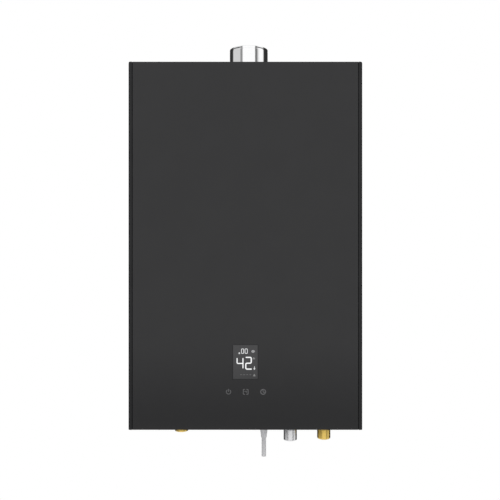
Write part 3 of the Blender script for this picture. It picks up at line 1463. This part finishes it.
@dataclass
class Electrics(Part):
    """The controller, igniter, electrodes, switch, power module and wires."""

    lid_x: float = -144.5
    lid_face: float = -63.2
    lid_back: float = -63.1
    lid_angle: float = 20.0
    terminal_face: float = -86.8
    valve_exit: Point = (-150.5, -40.0, -60.1)
    fan_exit: Point = (-134.5, -20.0, -60.1)
    rod_exit: Point = (-128.5, -63.3, -48.0)
    spark_exit: Point = (136.0, -33.3, 75.6)
    rod_end: Point = (-23.0, -129.1, 2.0)
    spark_end: Point = (33.0, -129.1, 2.0)
    gap: float = 0.1

    def build(self) -> None:
        """Dresses the boxes, lays the wires and adds the controller's screws and the mouldings."""
        self.keep(Finishes.PALE, "controller_case", "controller_lid", "pressure_switch", "power_module",
                  soft=0.8)
        self.keep(Finishes.CIRCUIT, "controller_board")
        self.keep(Finishes.DARK, "igniter_pack", soft=0.8)
        self.keep(Finishes.CERAMIC, "electrode_ceramics", soft=0.3)
        self.keep(Finishes.STEEL, "electrode_pins")
        self.wires()
        screws = Shape()
        for x, z in product((-163.0, -126.0), (-54.0, 144.0)):
            screws.screw_head((x, self.lid_face, z), r=2.8, h=1.6)
        self.fix(screws, "controller_screws", Finishes.FASTENER, "fasteners")
        self.lid_ribs()
        self.boots()
        self.terminals()

    def lid_ribs(self) -> None:
        """Adds the frames and ribs on the controller's lid."""
        ribs = Shape()
        for wide, tall, r, z, line, face in ((46.0, 208.0, 2.5, 45.0, 1.6, -64.1),
                                             (34.0, 92.0, 2.0, 68.0, 1.2, -63.9)):
            at = (self.lid_x, z)
            inner = rounded(wide - 2 * line, tall - 2 * line, r - line, at)
            ribs.rim(rounded(wide, tall, r, at), inner, face, self.lid_back)
        for i in range(9):
            z = -28.0 + 5.0 * i
            ribs.bead((-158.0, z), (-131.0, z + 2.8), -64.2, self.lid_back, 0.6)
        self.put(ribs.mesh("controller_ribs", self.lid_angle), "chassis", Finishes.PALE, "pale_plastic")

    def boots(self) -> None:
        """Adds the rubber boots where wires leave the boxes and meet the electrodes."""
        boots = Shape()
        grommet = [(1.6, 0.0), (5.0, 0.0), (5.0, -1.6), (3.4, -2.2), (2.6, -8.0), (1.6, -8.0)]
        for x, y, z in (self.valve_exit, self.fan_exit):
            boots.lathe(grommet, (x, y, z + self.gap), steps=40)
        rod = [(2.1, -63.2), (5.2, -63.2), (5.2, -64.8), (3.8, -65.4), (3.0, -72.0), (2.1, -72.0)]
        spark = [(2.1, -37.0), (4.6, -37.0), (4.6, -40.0), (3.4, -52.0), (2.1, -52.0)]
        for profile, (x, _, z) in ((rod, self.rod_exit), (spark, self.spark_exit)):
            boots.lathe(profile, (x, 0.0, z), Axis.Y, 40)
        cap = [(0.0, -4.6), (3.2, -4.4), (4.4, -3.0), (4.4, 4.0), (3.4, 14.0), (2.1, 14.0), (2.1, 5.0),
               (0.0, 5.0)]
        for at, way in ((self.rod_end, -1), (self.spark_end, 1)):
            boots.lathe([(r, way * h) for r, h in cap], at, Axis.X, 40, False)
        self.fix(boots, "rubber_boots", Finishes.COIL, "dark_plastic")

    def terminals(self) -> None:
        """Adds the terminal block, and the screws and tabs of the block and the pressure switch."""
        y = self.terminal_face
        posts = Shape().block((13.0, y, -236.5), (45.0, -83.9, -225.0), 0.5)
        for i in range(4):
            posts.block((13.4 + 8.0 * i, -88.2, -236.9), (14.2 + 8.0 * i, -86.5, -224.6), 0.2)
        self.fix(posts, "terminal_block", Finishes.DARK, "dark_plastic")
        small = Shape()
        for i in range(3):
            small.screw_head((18.0 + 8.0 * i, y, -230.7), r=2.4, h=1.2)
        for x, z in ((123.0, 176.0), (155.0, 204.0)):
            small.screw_head((x, -9.2, z), r=2.4, h=1.4)
        for z in (183.0, 197.0):
            small.block((126.0, -24.0, z - 3.0), (126.8, -18.2, z + 3.0), 0.15)
        self.fix(small, "terminal_screws", Finishes.FASTENER, "fasteners")

    def wires(self) -> None:
        """Lays the inner wires along the same routes as their solids."""
        valve = bow(self.valve_exit, (0.0, 0.0, -40.0), (0.0, 0.0, 40.0), (-113.0, -70.0, -154.6))
        fan = bow(self.fan_exit, (0.0, 0.0, -45.0), (-35.0, 0.0, 0.0), (-43.1, -34.0, -130.0))
        rod = bow(self.rod_exit, (0.0, -70.0, 0.0), (-60.0, 0.0, 0.0), self.rod_end)
        spark = bow(self.spark_exit, (0.0, -100.0, 0.0), (120.0, 0.0, 0.0), self.spark_end)
        tail = [(29.0, -70.0, -275.0 + 35.3 * i / 4) for i in range(5)]
        for name, line, r, finish, nodes in (
                ("supply_tail", tail, 3.5, Finishes.SHEATH, ("wiring",)),
                ("valve_wire", valve, 1.5, Finishes.RED_WIRE, ()),
                ("fan_wire", fan, 1.5, Finishes.BLUE_WIRE, ()),
                ("flame_rod_wire", rod, 2.0, Finishes.WHITE_WIRE, ()),
                ("spark_wire", spark, 2.0, Finishes.BLACK_WIRE, ())):
            self.fix(Shape().tube(line, r * 0.99, 20), name, finish, "lead", *nodes)


@dataclass
class Studio:
    """The camera, the lamps, the floor and the white surroundings."""

    eye: Point = (0.0069, -1.179, -0.0063)
    lens: float = 50.1
    sensor: float = 36.0
    floor_z: float = -1200.0
    floor_r: float = 1500.0
    floor_fade: Flat = (0.5, 1.4)
    flag_y: float = -400.0
    flag_half: float = 700.0
    flag_ends: Flat = (-180.0, -352.0)
    flag_fade: Flat = (-0.185, -0.34)
    flag_share: float = 0.62
    white: Colour = (1.0, 1.0, 1.0)
    ambient: Colour = (0.88, 0.88, 0.88)
    overhead: Colour = (0.9, 0.9, 0.9)
    overhead_lift: Flat = (0.4, 0.7)
    flank_turns: tuple[float, ...] = (50, 58, 108, 114)
    flank_lift: Flat = (0.235, 0.2)
    flank_share: float = 0.88
    bands: tuple[Flat, ...] = (
        (-180, 0.4), (-174, 0.3), (-166, 0.03), (-124, 0.028), (-113.5, 0.04), (-105, 0.66), (-54, 0.66),
        (-50, 0.29), (-40, 0.3), (-35, 1.07), (37, 1.07), (41, 0.13), (46, 0.13), (53, 0.42), (62, 0.92),
        (70, 1.05), (94, 1.05), (100, 0.5), (105.5, 0.03), (124, 0.028), (166, 0.03), (174, 0.3), (180, 0.4))

    def camera(self) -> None:
        """Sets the camera square on to the front."""
        data = bpy.data.cameras.new("camera")
        data.lens, data.sensor_width = self.lens, self.sensor
        made = linked("camera", data)
        made.location = self.eye
        made.rotation_euler = (math.pi / 2, 0.0, 0.0)
        bpy.context.scene.camera = made

    def lamp(self, name: str, at: Point, size: float, power: float) -> None:
        """Adds a soft square lamp that looks at the object's middle.

        Args:
            name: Its name.
            at: Its place, in metres.
            size: Its size, in metres.
            power: Its power.
        """
        data = bpy.data.lights.new(name, "AREA")
        data.size, data.energy = size, power
        made = linked(name, data)
        made.location = at
        made.rotation_euler = (-Vector(at)).to_track_quat("-Z", "Y").to_euler()
        made.visible_glossy = False

    def stage(self, made: bpy.types.Object, material: bpy.types.Material) -> None:
        made.data.materials.append(material)

    def floor(self) -> None:
        """Adds a pale round floor that fades into the white at its rim."""
        profile = [(0.0, 0.0), (self.floor_r, 0.0), (self.floor_r, -5.0), (0.0, -5.0)]
        shape = Shape().lathe(profile, (0.0, 0.0, self.floor_z), steps=96, loop=False)
        material, nodes = blank("pale floor")
        place = nodes.place()
        level = nodes.add("VectorMath", {0: place, 1: (1.0, 1.0, 0.0)}, operation="MULTIPLY").outputs[0]
        reach = nodes.add("VectorMath", {0: level}, operation="LENGTH").outputs["Value"]
        seen = nodes.add("LightPath").outputs["Is Camera Ray"]
        rim = nodes.maths("MULTIPLY", nodes.step(reach, *self.floor_fade), seen)
        colour = nodes.mix(nodes.noise(place, 6.0), (0.86, 0.86, 0.86), (0.9, 0.9, 0.9))
        pale = nodes.add("BsdfPrincipled", {"Base Color": colour, "Roughness": 0.7}).outputs[0]
        white = nodes.add("Emission", {"Color": (*self.white, 1.0)}).outputs[0]
        both = nodes.add("MixShader", {0: rim, 1: pale, 2: white}).outputs[0]
        nodes.add("OutputMaterial", {0: both})
        self.stage(shape.mesh("floor"), material)

    def flag(self) -> None:
        """Hangs a dark flag before the front's lower end, which only gloss shows."""
        rows = [[(s * self.flag_half, self.flag_y, z) for s in (-1, 1)] for z in self.flag_ends]
        made = Shape().loft(rows, False, False).mesh("flag")
        made.visible_camera = made.visible_diffuse = made.visible_shadow = made.visible_transmission = False
        material, nodes = blank("flag cloth")
        fall = {0: nodes.split(nodes.place())[2], 1: self.flag_fade[0], 2: self.flag_fade[1]}
        share = nodes.maths("MULTIPLY", nodes.add("MapRange", fall).outputs[0], self.flag_share)
        cloth = nodes.add("BsdfDiffuse", {"Color": (0.005, 0.005, 0.005, 1.0)}).outputs[0]
        clear = nodes.add("BsdfTransparent").outputs[0]
        both = nodes.add("MixShader", {0: share, 1: clear, 2: cloth}).outputs[0]
        nodes.add("OutputMaterial", {0: both})
        self.stage(made, material)

    def world(self) -> None:
        """Makes the white surroundings, with dark flags at the sides that only gloss shows."""
        world = bpy.data.worlds.new("studio")
        bpy.context.scene.world = world
        world.use_nodes = True
        nodes = Nodes(world.node_tree)
        way = nodes.split(nodes.add("TexCoord").outputs["Generated"])
        turn = nodes.maths("ARCTAN2", way[0], nodes.maths("MULTIPLY", way[1], -1.0))
        share = nodes.maths("ADD", nodes.maths("DIVIDE", turn, 2 * math.pi), 0.5)
        bands = nodes.ramp(share, [((degrees + 180) / 360, grey) for degrees, grey in self.bands])
        lift, away = nodes.maths("ABSOLUTE", way[2]), nodes.maths("ABSOLUTE", turn)
        near, inner, outer, far = (math.radians(d) for d in self.flank_turns)
        side = nodes.maths("MULTIPLY", nodes.step(away, near, inner), nodes.step(away, far, outer))
        flank = nodes.maths("MULTIPLY", side, nodes.step(lift, *self.flank_lift))
        dimmed = nodes.mix(nodes.maths("MULTIPLY", flank, self.flank_share), bands, (0.0, 0.0, 0.0))
        gloss = nodes.mix(nodes.step(lift, *self.overhead_lift), dimmed, self.overhead)
        path = nodes.add("LightPath").outputs
        plain = nodes.maths("MAXIMUM", path["Is Camera Ray"], path["Is Transmission Ray"])
        seen = nodes.mix(plain, nodes.mix(path["Is Glossy Ray"], self.ambient, gloss), self.white)
        light = nodes.add("Background", {"Color": seen, "Strength": 1.0})
        nodes.add("OutputWorld", {0: light.outputs[0]})

    def build(self) -> None:
        """Sets the stage round the object."""
        bpy.context.scene.view_settings.view_transform = "Standard"
        self.floor()
        self.flag()
        self.world()
        self.lamp("key", (-0.9, -1.5, 1.1), 1.2, 9.0)
        self.lamp("fill", (1.1, -1.4, 0.4), 1.2, 5.0)
        self.lamp("top", (0.0, -0.4, 1.6), 1.0, 5.0)


def main() -> None:
    """Builds the sub-assemblies in order."""
    logging.basicConfig(level=logging.INFO, format="%(name)s: %(message)s")
    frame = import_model()
    studio = Studio()
    studio.camera()
    for part in (PowerLead, FrontCover, DisplayUnit, FlueOutlet, PipeFittings, Chassis, BurnerStack,
                 BlowerUnit, GasTrain, WaterTrain, Electrics):
        LOG.info("%s", part.__name__)
        part(frame).build()
    studio.build()
    bpy.context.view_layer.update()


if __name__ == "__main__":
    main()
